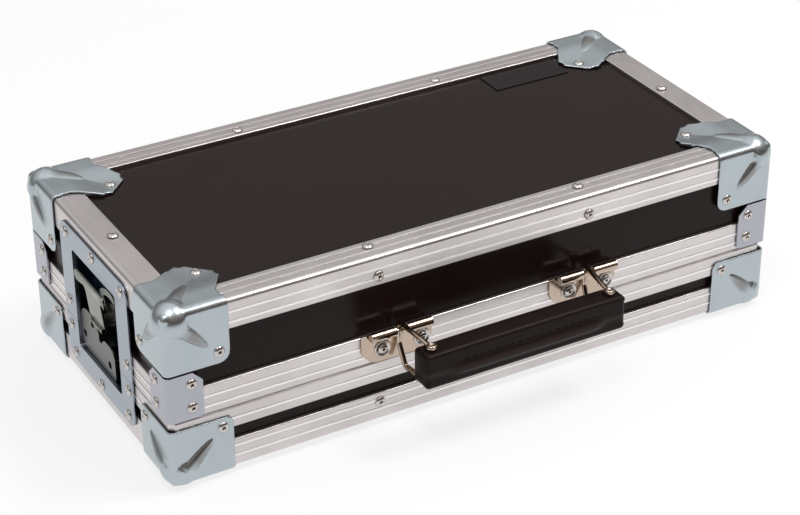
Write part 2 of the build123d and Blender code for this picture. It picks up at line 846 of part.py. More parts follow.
def handle_bracket(center_x):
    top = raised(handle_pin_height) - handle_barrel_radius + handle_plate_sheet
    bottom = raised(handle_plate_bottom)
    half = handle_plate_width / 2
    plate_plane = Plane(
        origin=(center_x, out_front(fitting_lift), 0), x_dir=(1, 0, 0), z_dir=(0, -1, 0)
    )
    outline = make_face(
        Polyline((-half, bottom), (half, bottom), (half, top), (-half, top), close=True)
    )
    low_corners = [v for v in outline.vertices() if v.Y < (bottom + top) / 2]
    outline = fillet(low_corners, handle_plate_round)
    plate = extrude(plate_plane * outline, handle_plate_sheet)
    ends = (center_x - handle_barrel_length / 2, center_x + handle_barrel_length / 2)
    pin_y = out_front(handle_pin_out)
    pin_z = raised(handle_pin_height)
    barrel = rod((ends[0], pin_y, pin_z), (ends[1], pin_y, pin_z), handle_barrel_radius)
    web = span(ends, (pin_y, out_front(fitting_lift)), (top - handle_plate_sheet, top))
    gap_x = (center_x - handle_barrel_gap / 2, center_x + handle_barrel_gap / 2)
    notch_bottom = raised(handle_pin_height - handle_notch_depth)
    gap = span(gap_x, (out_front(3 * handle_pin_out), out_front(-1)), (notch_bottom, 2 * top))
    bore = rod(
        (ends[0] - 1, pin_y, pin_z), (ends[1] + 1, pin_y, pin_z), handle_pin_radius + running_fit
    )
    return plate + barrel + web - gap - bore


def handle_hinge_pin(center_x):
    pin_y = out_front(handle_pin_out)
    pin_z = raised(handle_pin_height)
    half = handle_barrel_length / 2
    return rod((center_x - half, pin_y, pin_z), (center_x + half, pin_y, pin_z), handle_pin_radius)


def handle_ring(sign):
    # Wire from the eye over the grip, in to the hinge pin, down behind it and back out
    eye_x = handle_x + sign * ring_eye_x
    bar_x = handle_x + sign * handle_plate_x
    upper = raised(grip_top) + ring_fit + ring_wire_radius
    lower = raised(grip_bottom) - ring_fit - ring_wire_radius
    pin_z = raised(handle_pin_height)
    back = handle_pin_out - ring_behind_pin
    slope = (eye_x - bar_x) / (grip_out - back)

    def spot(distance, height):
        return (bar_x + slope * (distance - back), out_front(distance), height)

    upper_in = pin_z + ring_behind_pin
    path = FilletPolyline(
        spot(grip_out, upper),
        spot(back, upper_in),
        spot(back, pin_z - ring_knee_drop),
        spot(ring_foot_out, lower),
        spot(grip_out, lower),
        radius=ring_bend_radius,
    )
    start = Plane(origin=path @ 0, z_dir=path % 0)
    wire = sweep(start * Circle(ring_wire_radius), path)
    solid = wire
    for height in (upper, lower):
        eye = rod(
            (eye_x, out_front(grip_out), height - ring_wire_radius),
            (eye_x, out_front(grip_out), height + ring_wire_radius),
            ring_eye_radius,
        )
        solid = solid + eye
    bore = rod(
        (eye_x, out_front(grip_out), lower - 2 * ring_wire_radius),
        (eye_x, out_front(grip_out), upper + 2 * ring_wire_radius),
        grip_pin_radius + running_fit,
    )
    return solid - bore


def handle_grip():
    size = (grip_length, grip_depth, grip_top - grip_bottom)
    solid = Pos(handle_x, out_front(grip_out), raised((grip_bottom + grip_top) / 2)) * Box(*size)
    solid = fillet(solid.edges().filter_by(Axis.X), grip_edge_radius)
    ends = solid.faces().sort_by(Axis.X)
    solid = fillet(ends[0].edges() + ends[-1].edges(), grip_end_radius)
    for sign in (-1, 1):
        eye_x = handle_x + sign * ring_eye_x
        solid = solid - rod(
            (eye_x, out_front(grip_out), raised(grip_bottom) - 1),
            (eye_x, out_front(grip_out), raised(grip_top) + 1),
            grip_pin_radius + running_fit,
        )
    return solid


def grip_pin(sign):
    eye_x = handle_x + sign * ring_eye_x
    reach = ring_fit + 2 * ring_wire_radius
    low = raised(grip_bottom) - reach
    high = raised(grip_top) + reach
    y = out_front(grip_out)
    head = grip_pin_head_height
    solid = rod((eye_x, y, low - head), (eye_x, y, high + head), grip_pin_radius)
    solid = solid + rod((eye_x, y, low - head), (eye_x, y, low), grip_pin_head_radius)
    return solid + rod((eye_x, y, high), (eye_x, y, high + head), grip_pin_head_radius)


# ---- The nodes ----------------------------------------------------------------------

base_spots = corner_rivet_spots(-1) + edge_rivet_spots(-1)
base_spots = base_spots + dish_rivet_spots(lid=False)
lid_spots = corner_rivet_spots(1) + edge_rivet_spots(1) + bracket_rivet_spots()
lid_spots = lid_spots + dish_rivet_spots(lid=True)
handle_spots = handle_rivet_spots()
lid_spots = lid_spots + handle_spots

nodes = {}


def keep(name, solid, spots=()):
    nodes[name] = drill(solid, spots)


def make_base():
    keep("base_bottom_panel", cover_panel(0), base_spots)
    for side, wall in side_walls(panel_thickness, base_wall_top).items():
        keep(f"base_{side}_panel", wall, base_spots)
    edges = frame_bars(edge_profile(True), edge_profile(False), edge_leg)
    for side, bar in edges.items():
        keep(f"base_edge_{side}", bar, base_spots)
    rims = parted_for_dish(frame_bars(base_rim_profile(), base_rim_profile(), rim_depth))
    for side, bar in rims.items():
        keep(f"base_rim_{side}", bar, base_spots)
    corner = ball_corner(base_corner_height, base_corner_round)
    for name, (side_x, side_y) in corner_signs.items():
        placed = placed_corner(corner, side_x, side_y, lid=False)
        keep(f"base_corner_{name}", placed, base_spots)
    dishes = mirrored_pair(dish_half(base_z - edge_step, base_rim_top))
    keepers = mirrored_pair(keeper_plate())
    for end in ("left", "right"):
        keep(f"keeper_dish_{end}", dishes[end], base_spots)
        nodes[f"keeper_plate_{end}"] = keepers[end]
    nodes["base_rivets"] = Compound(children=[rivet(spot) for spot in base_spots])
    pad_x = inner_x - pad_wall_gap
    pad_y = inner_y - pad_wall_gap
    pad = span((-pad_x, pad_x), (-pad_y, pad_y), (panel_thickness, panel_thickness + pad_thickness))
    floor_spots = [spot for spot in base_spots if spot["plane"].z_dir.Z < -0.5]
    lengthened = [dict(spot, grip=spot["grip"] + 2 * pad_thickness) for spot in floor_spots]
    nodes["base_floor_pad"] = drill(pad, lengthened, rivet_tail_radius + dish_fit)


def make_lid():
    keep("lid_top_panel", cover_panel(top_panel_z - panel_thickness), lid_spots)
    for side, wall in side_walls(lid_wall_bottom, top_panel_z - panel_thickness).items():
        keep(f"lid_{side}_panel", wall, lid_spots)
    middle = Plane.XY.offset(middle_z)
    edges = {
        side: mirror(bar, middle)
        for side, bar in frame_bars(edge_profile(True), edge_profile(False), edge_leg).items()
    }
    for side, bar in edges.items():
        keep(f"lid_edge_{side}", bar, lid_spots)
    rims = parted_for_dish(frame_bars(lid_rim_profile(), lid_rim_profile(), rim_depth))
    for side, bar in rims.items():
        keep(f"lid_rim_{side}", bar, lid_spots)
    corner = ball_corner(lid_corner_height, lid_corner_round)
    bracket = angle_bracket()
    for name, (side_x, side_y) in corner_signs.items():
        placed = placed_corner(corner, side_x, side_y, lid=True)
        keep(f"lid_corner_{name}", placed, lid_spots)
        turned = mirror(bracket, Plane.YZ) if side_x > 0 else bracket
        turned = mirror(turned, Plane.XZ) if side_y > 0 else turned
        keep(f"lid_bracket_{name}", turned, lid_spots)
    dishes = mirrored_pair(lid_dish())
    for end in ("left", "right"):
        keep(f"latch_dish_{end}", dishes[end], lid_spots)
    fasteners = [rivet(spot) for spot in lid_spots]
    for spot in handle_spots:
        washer = Circle(washer_radius) - Circle(rivet_hole_radius)
        fasteners.append(
            spot["plane"].location * Pos(0, 0, -washer_thickness) * extrude(washer, washer_thickness)
        )
    nodes["lid_rivets"] = Compound(children=fasteners)
    width, depth, height = name_plate_size
    inset_x, inset_y = name_plate_inset
    plate_x = half_length - inset_x
    plate_y = half_width - inset_y
    nodes["name_plate"] = Pos(plate_x, plate_y, top_panel_z + height / 2) * Box(width, depth, height)


def make_latches():
    for name, solid in (
        ("latch_rotor", latch_rotor()),
        ("latch_wing", latch_wing()),
        ("wing_pin", wing_pin()),
    ):
        for end, copy in mirrored_pair(solid).items():
            nodes[f"{name}_{end}"] = copy


def make_handle():
    for end, sign in (("left", -1), ("right", 1)):
        center_x = handle_x + sign * handle_plate_x
        keep(f"handle_bracket_{end}", handle_bracket(center_x), lid_spots)
    pins = [handle_hinge_pin(handle_x + sign * handle_plate_x) for sign in (-1, 1)]
    nodes["handle_hinge_pins"] = Compound(children=pins)
    nodes["handle_grip"] = handle_grip()
    nodes["handle_rings"] = Compound(children=[handle_ring(sign) for sign in (-1, 1)])
    nodes["handle_grip_pins"] = Compound(children=[grip_pin(sign) for sign in (-1, 1)])


make_base()
make_lid()
make_latches()
make_handle()

for name, shape in nodes.items():
    export_step(shape, f"parts/{name}.step")
print(len(nodes), "nodes")
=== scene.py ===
# Flight case for guitar pedals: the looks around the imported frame.
import json
import math

import bmesh
import bpy
from mathutils import Matrix, Vector, noise


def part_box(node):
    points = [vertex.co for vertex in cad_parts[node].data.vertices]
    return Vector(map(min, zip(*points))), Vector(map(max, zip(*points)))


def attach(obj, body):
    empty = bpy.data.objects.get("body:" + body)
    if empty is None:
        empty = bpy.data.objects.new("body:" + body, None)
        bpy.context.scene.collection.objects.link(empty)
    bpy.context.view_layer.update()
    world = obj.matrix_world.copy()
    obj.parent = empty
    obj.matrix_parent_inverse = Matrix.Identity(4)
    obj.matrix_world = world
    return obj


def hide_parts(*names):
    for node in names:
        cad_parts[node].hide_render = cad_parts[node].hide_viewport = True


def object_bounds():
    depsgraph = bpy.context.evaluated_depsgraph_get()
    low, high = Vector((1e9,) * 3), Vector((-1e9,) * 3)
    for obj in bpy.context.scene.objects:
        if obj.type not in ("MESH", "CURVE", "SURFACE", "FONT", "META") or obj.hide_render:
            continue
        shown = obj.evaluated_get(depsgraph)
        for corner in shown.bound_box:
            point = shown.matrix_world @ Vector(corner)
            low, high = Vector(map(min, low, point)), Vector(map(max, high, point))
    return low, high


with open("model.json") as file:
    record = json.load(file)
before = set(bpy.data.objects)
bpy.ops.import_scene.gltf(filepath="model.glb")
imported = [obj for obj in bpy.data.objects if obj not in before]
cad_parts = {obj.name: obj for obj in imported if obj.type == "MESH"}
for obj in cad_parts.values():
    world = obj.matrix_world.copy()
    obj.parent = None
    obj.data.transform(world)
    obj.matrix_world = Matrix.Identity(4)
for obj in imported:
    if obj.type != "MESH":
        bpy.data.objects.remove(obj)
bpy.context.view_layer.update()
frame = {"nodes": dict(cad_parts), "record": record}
record = frame["record"]
print("frame loaded:", len(record["subparts"]), "nodes")

cornerPlaces = ("front_left", "front_right", "back_left", "back_right")
sharpAngle = math.radians(60)
weldReach = 2e-6


def spanOf(node):
    low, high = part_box(node)
    return Vector(low), Vector(high)


def clamped(share):
    return min(1.0, max(0.0, share))


def eased(share):
    # a share from nought to one that starts and ends gently
    share = clamped(share)
    return share * share * (3 - 2 * share)


# building blocks for node trees

def feed(tree, node, feeds):
    # inputs by name or number, each from another node's output or set to a value
    for key, value in feeds.items():
        if isinstance(value, bpy.types.NodeSocket):
            tree.links.new(value, node.inputs[key])
        else:
            node.inputs[key].default_value = value


def addNode(tree, kind, feeds, **settings):
    node = tree.nodes.new(kind)
    for name, value in settings.items():
        setattr(node, name, value)
    feed(tree, node, feeds)
    return node


def maths(tree, operation, *values, **settings):
    feeds = dict(enumerate(values))
    return addNode(tree, "ShaderNodeMath", feeds, operation=operation, **settings).outputs[0]


def axesOf(tree, vector):
    return addNode(tree, "ShaderNodeSeparateXYZ", {0: vector}).outputs


def newTree(name, kind, inputs, outputs):
    # inputs are (name, kind, value) and outputs are (name, kind)
    tree = bpy.data.node_groups.new(name, kind)
    for label, socketKind, value in inputs:
        socket = tree.interface.new_socket(
            label, in_out="INPUT", socket_type="NodeSocket" + socketKind)
        if value is not None:
            socket.default_value = value
    for label, socketKind in outputs:
        tree.interface.new_socket(
            label, in_out="OUTPUT", socket_type="NodeSocket" + socketKind)
    entry = tree.nodes.new("NodeGroupInput")
    leave = tree.nodes.new("NodeGroupOutput")
    return tree, entry.outputs, leave


def makeBrushedGroup():
    # long fine streaks along one axis
    group, entry, leave = newTree(
        "brushedStreaks", "ShaderNodeTree",
        [
            ("Vector", "Vector", None),
            ("Stretch", "Vector", (1.0, 1.0, 1.0)),
            ("Fineness", "Float", 900.0),
        ],
        [("Streak", "Float")],
    )
    stretch = addNode(
        group, "ShaderNodeVectorMath", {0: entry["Vector"], 1: entry["Stretch"]},
        operation="MULTIPLY")
    fine = addNode(group, "ShaderNodeTexNoise", {
        "Detail": 4.0, "Roughness": 0.65,
        "Vector": stretch.outputs[0], "Scale": entry["Fineness"]})
    feed(group, leave, {"Streak": fine.outputs["Fac"]})
    return group


def makeHandlingGroup():
    # smudges that handling leaves on a hard surface
    group, entry, leave = newTree(
        "handlingMarks", "ShaderNodeTree",
        [("Vector", "Vector", None), ("Smudge Size", "Float", 9.0)],
        [("Smudge", "Float")],
    )
    smudge = addNode(group, "ShaderNodeTexNoise", {
        "Detail": 5.0, "Roughness": 0.6, "Distortion": 0.6,
        "Vector": entry["Vector"], "Scale": entry["Smudge Size"]})
    feed(group, leave, {"Smudge": smudge.outputs["Fac"]})
    return group


brushedStreaks = makeBrushedGroup()
handlingMarks = makeHandlingGroup()


def newMaterial(name):
    material = bpy.data.materials.new(name)
    material.use_nodes = True
    tree = material.node_tree
    place = addNode(tree, "ShaderNodeTexCoord", {}).outputs["Object"]
    return material, tree, tree.nodes["Principled BSDF"], place


def smudges(tree, place, size):
    feeds = {"Vector": place, "Smudge Size": size}
    return addNode(tree, "ShaderNodeGroup", feeds, node_tree=handlingMarks).outputs["Smudge"]


def remap(tree, source, low, high, fromLow=0.3, fromHigh=0.7, **settings):
    # from one span of numbers to another; most of a noise lies between 0.3 and 0.7
    return addNode(tree, "ShaderNodeMapRange", {
        "Value": source, "From Min": fromLow, "From Max": fromHigh,
        "To Min": low, "To Max": high}, **settings).outputs["Result"]


def mixColours(tree, share, first, second, **settings):
    # each colour is three numbers or another node's output
    node = addNode(tree, "ShaderNodeMix", {0: share}, data_type="RGBA", **settings)
    for place, colour in ((6, first), (7, second)):
        feed(tree, node, {place: (*colour, 1.0) if isinstance(colour, tuple) else colour})
    return node.outputs[2]


def bumpFrom(tree, height, strength, distance):
    return addNode(tree, "ShaderNodeBump", {
        "Strength": strength, "Distance": distance, "Height": height}).outputs["Normal"]


# materials

bumpDepths = {"streaks": 0.0002, "plating": 0.0006, "laminate": 0.0002, "skin": 0.0003}


def ribHighlightMask(tree, place, side, crest):
    # painted highlight: one on the rib tops, where light catches them, and nought between them
    axes = axesOf(tree, place)
    outwards = maths(tree, "ABSOLUTE", axes[side])
    upwards = maths(tree, "ABSOLUTE", maths(tree, "SUBTRACT", axes["Z"], caseMiddleZ))
    onWall = remap(tree, outwards, 0.0, 1.0, crest - ribFade[0], crest - ribFade[1])
    onTop = remap(tree, upwards, 0.0, 1.0, crestZ - ribFade[0], crestZ - ribFade[1])
    return maths(tree, "MAXIMUM", onWall, onTop)


def makeBrushedMetal(name, look, side, crest):
    # metal with streaks along its own long axis
    material, tree, shader, place = newMaterial(name)
    streak = addNode(tree, "ShaderNodeGroup", {
        "Vector": place, "Stretch": look["stretch"], "Fineness": look["fineness"]},
        node_tree=brushedStreaks).outputs["Streak"]
    smudge = smudges(tree, place, look["smudgeSize"])
    streakShare = look["streakShare"]
    cloud = remap(tree, smudge, 0.0, 1.0 - streakShare)
    both = maths(tree, "MULTIPLY_ADD", streak, streakShare, cloud)
    colour = mixColours(tree, both, look["dark"], look["light"])
    # a painted highlight on the rib tops, in the crest colour
    mask = ribHighlightMask(tree, place, side, crest)
    feed(tree, shader, {
        "Base Color": mixColours(tree, mask, colour, look["crest"]),
        "Roughness": remap(tree, streak, *look["roughness"]),
        "Normal": bumpFrom(tree, streak, look["bump"], bumpDepths["streaks"]),
        "Metallic": 1.0})
    return material


extrusionLook = {
    "stretch": (0.009, 1.0, 1.0),
    "fineness": 1400.0,
    "smudgeSize": 16.0,
    "streakShare": 0.55,
    "dark": (0.52, 0.488, 0.486),
    "light": (0.77, 0.735, 0.728),
    # colour of the painted highlight on the rib tops
    "crest": (0.88, 0.85, 0.85),
    "roughness": (0.26, 0.40),
    "bump": 0.25,
}
caseLow, caseTop = spanOf("base_edge_front")[0].z, spanOf("lid_edge_front")[1].z
caseMiddleZ = (caseLow + caseTop) / 2
crestZ = (caseTop - caseLow) / 2
# the painted highlight on the rib tops fades in over these depths
ribFade = (0.00026, 0.00012)    # below the crest: where its colour starts, and where it is full
satinAluminiumX = makeBrushedMetal(
    "satinAluminiumX", extrusionLook, "Y", abs(spanOf("lid_rim_front")[0].y))
satinAluminiumY = makeBrushedMetal(
    "satinAluminiumY", {**extrusionLook, "stretch": (1.0, 0.009, 1.0)}, "X",
    abs(spanOf("lid_rim_left")[0].x))


def paintRecessShade(tree, place, colour, look):
    # painted shade: the plate is darker away from the two end faces, deep in the recess
    outwards = maths(tree, "ABSOLUTE", axesOf(tree, place)["X"])
    share = remap(tree, outwards, 1.0, 0.0, *look["recess"])
    return mixColours(tree, share, colour, look["recessShadeColour"])


def makePlatedSteel(name, look):
    # zinc or nickel plate: smooth, a little cloudy and blue or warm in its reflections
    material, tree, shader, place = newMaterial(name)
    smudge = smudges(tree, place, look["smudgeSize"])
    colour = mixColours(tree, smudge, look["dark"], look["light"])
    # painted shade deep in a recess, where the look has one
    if "recess" in look:
        colour = paintRecessShade(tree, place, colour, look)
    # painted dark reflection along the pressed ridges, from the ridge attribute
    if "ridgeReflectionColour" in look:
        ridge = addNode(tree, "ShaderNodeAttribute", {}, attribute_name="ridge")
        colour = mixColours(tree, ridge.outputs["Fac"], colour, look["ridgeReflectionColour"])
    feed(tree, shader, {
        "Base Color": colour,
        "Roughness": remap(tree, smudge, *look["roughness"]),
        "Normal": bumpFrom(tree, smudge, look["bump"], bumpDepths["plating"]),
        "Metallic": 1.0})
    return material


dishFace = abs(spanOf("latch_dish_left")[0].x)
# the ridge colour is a painted dark reflection along the pressed ridges
cornerZinc = makePlatedSteel("cornerZinc", {
    "smudgeSize": 26.0, "dark": (0.38, 0.43, 0.46), "light": (0.52, 0.58, 0.61),
    "roughness": (0.24, 0.34), "bump": 0.12, "ridgeReflectionColour": (0.17, 0.14, 0.12)})
bracketZinc = makePlatedSteel("bracketZinc", {
    "smudgeSize": 30.0, "dark": (0.37, 0.38, 0.43), "light": (0.47, 0.48, 0.53),
    "roughness": (0.24, 0.36), "bump": 0.1})
# the dish's inside carries a painted shade, darker away from its open face
dishZinc = makePlatedSteel("dishZinc", {
    "smudgeSize": 24.0, "dark": (0.30, 0.34, 0.39), "light": (0.40, 0.44, 0.49),
    "roughness": (0.24, 0.36), "bump": 0.1,
    "recess": (dishFace - 0.0040, dishFace - 0.0018), "recessShadeColour": (0.055, 0.09, 0.135)})
keeperZinc = makePlatedSteel("keeperZinc", {
    "smudgeSize": 40.0, "dark": (0.11, 0.107, 0.104), "light": (0.16, 0.157, 0.153),
    "roughness": (0.26, 0.40), "bump": 0.1})
latchNickel = makePlatedSteel("latchNickel", {
    "smudgeSize": 60.0, "dark": (0.15, 0.16, 0.14), "light": (0.22, 0.23, 0.20),
    "roughness": (0.18, 0.30), "bump": 0.06})
handleNickel = makePlatedSteel("handleNickel", {
    "smudgeSize": 60.0, "dark": (0.42, 0.335, 0.265), "light": (0.57, 0.47, 0.39),
    "roughness": (0.09, 0.17), "bump": 0.03})
rivetSteel = makePlatedSteel("rivetSteel", {
    "smudgeSize": 120.0, "dark": (0.50, 0.47, 0.45), "light": (0.66, 0.63, 0.60),
    "roughness": (0.18, 0.30), "bump": 0.05})

laminateLook = {
    "smudgeSize": 7.0,
    "dark": (0.008, 0.0036, 0.0034),
    "light": (0.013, 0.0065, 0.0061),
    "roughness": (0.14, 0.26),
    "grain": 900.0,
    "bump": 0.08,
    "shine": 0.14,
}


def makeLaminate():
    look = laminateLook
    material, tree, shader, place = newMaterial("blackLaminate")
    smudge = smudges(tree, place, look["smudgeSize"])
    grain = addNode(tree, "ShaderNodeTexNoise", {
        "Scale": look["grain"], "Detail": 3.0, "Vector": place})
    feed(tree, shader, {
        "Base Color": mixColours(tree, smudge, look["dark"], look["light"]),
        "Roughness": remap(tree, smudge, *look["roughness"]),
        "Normal": bumpFrom(tree, grain.outputs["Fac"], look["bump"], bumpDepths["laminate"]),
        "Specular IOR Level": look["shine"]})
    return material


blackLaminate = makeLaminate()


def paintedSheenBand(tree, place, colour, band):
    # painted highlight: the skin is lighter along a band at one height, near the ridge's crest
    above = maths(tree, "SUBTRACT", axesOf(tree, place)["Z"], band["height"])
    away = maths(tree, "ABSOLUTE", above)
    share = remap(tree, away, 1.0, 0.0, 0.0, band["reach"], interpolation_type="SMOOTHSTEP")
    return mixColours(tree, share, colour, band["colour"])


def makeMattBlack(name, look):
    # leather, thread, plastic and pile: dark, with a grain in height and colour
    material, tree, shader, place = newMaterial(name)
    smudge = smudges(tree, place, look["smudgeSize"])
    colour = mixColours(tree, smudge, look["dark"], look["light"])
    # a painted highlight band, where the look has one
    if "paintedSheenBand" in look:
        colour = paintedSheenBand(tree, place, colour, look["paintedSheenBand"])
    grain = addNode(tree, "ShaderNodeTexVoronoi", {"Scale": look["grain"], "Vector": place})
    feed(tree, shader, {
        "Base Color": colour,
        "Roughness": remap(tree, smudge, *look["roughness"]),
        "Normal": bumpFrom(tree, grain.outputs["Distance"], look["bump"], bumpDepths["skin"]),
        "Specular IOR Level": look["shine"]})
    return material


gripLow, gripHigh = spanOf("handle_grip")
gripMiddle = (gripLow + gripHigh) / 2
gripHalf = (gripHigh - gripLow) / 2
# colour and place of the painted highlight along the grip's ridge
gripSheenBand = {"height": gripMiddle.z - 0.0028, "reach": 0.0036, "colour": (0.026, 0.018, 0.018)}
gripSkin = makeMattBlack("gripSkin", {
    "smudgeSize": 40.0, "dark": (0.007, 0.0035, 0.0035), "light": (0.014, 0.0075, 0.0075),
    "roughness": (0.34, 0.46), "grain": 900.0, "bump": 0.16, "shine": 0.10,
    "paintedSheenBand": gripSheenBand})
threadBlack = makeMattBlack("threadBlack", {
    "smudgeSize": 300.0, "dark": (0.003, 0.002, 0.002), "light": (0.006, 0.004, 0.004),
    "roughness": (0.7, 0.9), "grain": 2400.0, "bump": 0.3, "shine": 0.1})
plateBlack = makeMattBlack("plateBlack", {
    "smudgeSize": 60.0, "dark": (0.006, 0.005, 0.005), "light": (0.011, 0.009, 0.009),
    "roughness": (0.28, 0.40), "grain": 700.0, "bump": 0.08, "shine": 0.16})
floorPile = makeMattBlack("floorPile", {
    "smudgeSize": 22.0, "dark": (0.012, 0.012, 0.014), "light": (0.030, 0.030, 0.034),
    "roughness": (0.85, 0.95), "grain": 1300.0, "bump": 0.8, "shine": 0.2})
mandrelDark = makeMattBlack("mandrelDark", {
    "smudgeSize": 200.0, "dark": (0.012, 0.008, 0.006), "light": (0.03, 0.022, 0.018),
    "roughness": (0.5, 0.7), "grain": 2000.0, "bump": 0.3, "shine": 0.3})

slotMaterials = {
    "rivet_steel": rivetSteel,
    "laminated_plywood": blackLaminate,
    "corner_zinc": cornerZinc,
    "bracket_zinc": bracketZinc,
    "dish_zinc": dishZinc,
    "latch_nickel": latchNickel,
    "handle_nickel": handleNickel,
    "grip_skin": gripSkin,
    "plate_black": plateBlack,
    "floor_fabric": floorPile,
}


def aluminiumFor(name):
    # the streaks run along the extrusion
    return satinAluminiumX if name.endswith(("front", "back")) else satinAluminiumY


def dress(piece, material):
    piece.data.materials.clear()
    piece.data.materials.append(material)


for entry in record["subparts"]:
    slot = entry["material_slot"]
    metal = aluminiumFor(entry["node"])
    dress(frame["nodes"][entry["node"]], slotMaterials.get(slot, metal))
print("nodes dressed")


# pieces made from the frame's own shapes

def bodyHolding(node):
    for body, members in record["behaviour"]["bodies"].items():
        if node in members:
            return body
    return None


def meshFrom(work, name):
    mesh = bpy.data.meshes.new(name)
    work.to_mesh(mesh)
    work.free()
    return mesh


def weldedWork(node):
    # the node's loose triangles joined into one skin
    work = bmesh.new()
    work.from_mesh(frame["nodes"][node].data)
    bmesh.ops.remove_doubles(work, verts=work.verts, dist=weldReach)
    return work


def flatten(mesh, angle):
    # flat stretches are made whole
    work = bmesh.new()
    work.from_mesh(mesh)
    bmesh.ops.dissolve_limit(
        work, angle_limit=math.radians(angle), verts=work.verts, edges=work.edges)
    work.to_mesh(mesh)
    work.free()


def settle(piece):
    # applies the live modifiers and leaves one plain mesh
    graph = bpy.context.evaluated_depsgraph_get()
    mesh = bpy.data.meshes.new_from_object(piece.evaluated_get(graph), depsgraph=graph)
    mesh.name = piece.name
    piece.modifiers.clear()
    piece.data = mesh


def newPiece(name, data):
    piece = bpy.data.objects.new(name, data)
    bpy.context.collection.objects.link(piece)
    return piece


def standFor(piece, node, body):
    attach(piece, body)
    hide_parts(node)


easeLook = {"flat": 0.4, "segments": 2, "normalWeight": 90}


def softenedPiece(node, material, look):
    # the same part with its pressed or cast edges eased
    mesh = meshFrom(weldedWork(node), node + "Shown")
    flatten(mesh, easeLook["flat"])
    piece = newPiece(node + "Eased", mesh)
    mesh.shade_smooth()
    bevel = piece.modifiers.new("ease", "BEVEL")
    bevel.width = look["ease"]
    bevel.segments = easeLook["segments"]
    bevel.limit_method = "ANGLE"
    bevel.angle_limit = math.radians(look["angle"])
    bevel.use_clamp_overlap = True
    normals = piece.modifiers.new("true", "WEIGHTED_NORMAL")
    normals.weight = easeLook["normalWeight"]
    settle(piece)
    dress(piece, material)
    standFor(piece, node, bodyHolding(node))
    return piece


# pressed corners

cornerLook = {
    "grain": 0.0006,
    "passes": 12,
    "calming": 0.5,
    "ball": 0.014,              # radius of the ball
    "sheetDepth": 0.0031,       # of the sheet's skin, below the ball's outermost point
    "sheetMiddle": 0.00075,
    "slack": 0.00005,
    "stepAt": 0.0239,           # where the lobe steps down to its panel
    "stepDrop": 0.0028,
    "stepBlur": 0.0022,
    "ballProud": 0.005,
    "rampFrom": 0.016,
    "rampTo": 0.044,
    "ridgeReach": 0.0285,
    "ridgeHalf": 0.0052,
    "ridgeRise": 0.0030,
    "ridgeRound": 0.9,
    "flatterOnTop": 0.65,
    # strength and spread of the painted dark reflection along the ridges
    "ridgeReflection": 0.62,
    "ridgeReflectionSpread": 1.3,
    "fadeFrom": 0.003,
    "fadeTo": 0.011,
    "ballShrink": 0.0003,
    "meet": 0.0010,
}


def ridgeRise(u, v):
    # height of the spindle that runs from the ball along the diagonal of a face
    look = cornerLook
    along = (u + v) / math.sqrt(2)
    across = abs(u - v) / math.sqrt(2)
    if along < 0 or along >= look["ridgeReach"]:
        return 0.0
    taper = math.sqrt(1 - (along / look["ridgeReach"]) ** 2)
    half = look["ridgeHalf"] * taper
    if across >= half:
        return 0.0
    return look["ridgeRise"] * taper * (1 - (across / half) ** 2) ** look["ridgeRound"]


def ballDepth(u, v):
    # depth of the ball's own surface under a point of the face, and far below past the ball
    radius = cornerLook["ball"]
    square = radius * radius - u * u - v * v
    if square <= 0:
        return 1.0
    return radius - math.sqrt(square) + cornerLook["ballShrink"]


def blendedLess(first, second, width):
    # the smaller of two depths, rounded where they meet
    mix = clamped(0.5 + 0.5 * (second - first) / width)
    return second * (1 - mix) + first * mix - width * mix * (1 - mix)


def rampDrop(inward):
    # how far the sheet has sunk towards the panel, at a distance in from the case's edges
    look = cornerLook
    run = look["rampTo"] - look["rampFrom"]
    return look["stepDrop"] * eased((inward - look["rampFrom"]) / run)


def pressFace(depths, axis):
    # depth of a point on the outer skin of one face after pressing, or the depth it has
    look = cornerLook
    others = [depths[other] for other in range(3) if other != axis]
    flat = axis == 2
    inward = min(others) - look["ballProud"]
    stepped = flat and inward > look["stepAt"]
    beyondMiddle = flat and inward > look["stepAt"] - look["sheetMiddle"]
    surface = look["sheetDepth"] + (look["stepDrop"] if stepped else 0.0)
    deepest = look["sheetDepth"] + look["sheetMiddle"] + (look["stepDrop"] if beyondMiddle else 0.0)
    depth = depths[axis]
    if depth > deepest:
        return depth
    under = max(0.0, depth - surface)
    target = look["sheetDepth"]
    if flat:
        target += rampDrop(inward)
        if abs(inward - look["stepAt"]) < look["stepBlur"]:
            under = 0.0
    u, v = (other - look["ball"] for other in others)
    target -= ridgeRise(u, v) * (look["flatterOnTop"] if flat else 1.0)
    if u + v > 0 and inward > 0:
        proud = blendedLess(ballDepth(u, v), target, look["meet"])
        return max(depth, proud) if depth < proud else min(depth, proud + under)
    if depth < look["sheetDepth"] - look["slack"]:
        return min(depth, target)
    return target + under


def ridgeReflectionAt(depths):
    # how strongly the painted dark reflection lies on the skin, full along a ridge's crest
    look = cornerLook
    axis = depths.index(min(depths))
    if depths[axis] > look["sheetDepth"] + look["sheetMiddle"]:
        return 0.0
    u, v = (depths[other] - look["ball"] for other in range(3) if other != axis)
    past = ((u + v) / math.sqrt(2) - look["fadeFrom"]) / (look["fadeTo"] - look["fadeFrom"])
    crest = min(1.0, look["ridgeReflectionSpread"] * ridgeRise(u, v) / look["ridgeRise"])
    return look["ridgeReflection"] * clamped(past) * crest


def pressRidges(piece, node):
    low, high = spanOf(node)
    signs = [1 if side in node else -1 for side in ("left", "front", "base")]
    outer = [low[axis] if signs[axis] > 0 else high[axis] for axis in range(3)]
    ridgeReflections = []
    for vertex in piece.data.vertices:
        depths = [(vertex.co[axis] - outer[axis]) * signs[axis] for axis in range(3)]
        moved = [pressFace(depths, axis) for axis in range(3)]
        vertex.co = [outer[axis] + signs[axis] * moved[axis] for axis in range(3)]
        ridgeReflections.append(ridgeReflectionAt(moved))
    # the painted dark reflection is kept on the points for the zinc's colour
    mask = piece.data.attributes.new("ridge", "FLOAT", "POINT")
    mask.data.foreach_set("value", ridgeReflections)


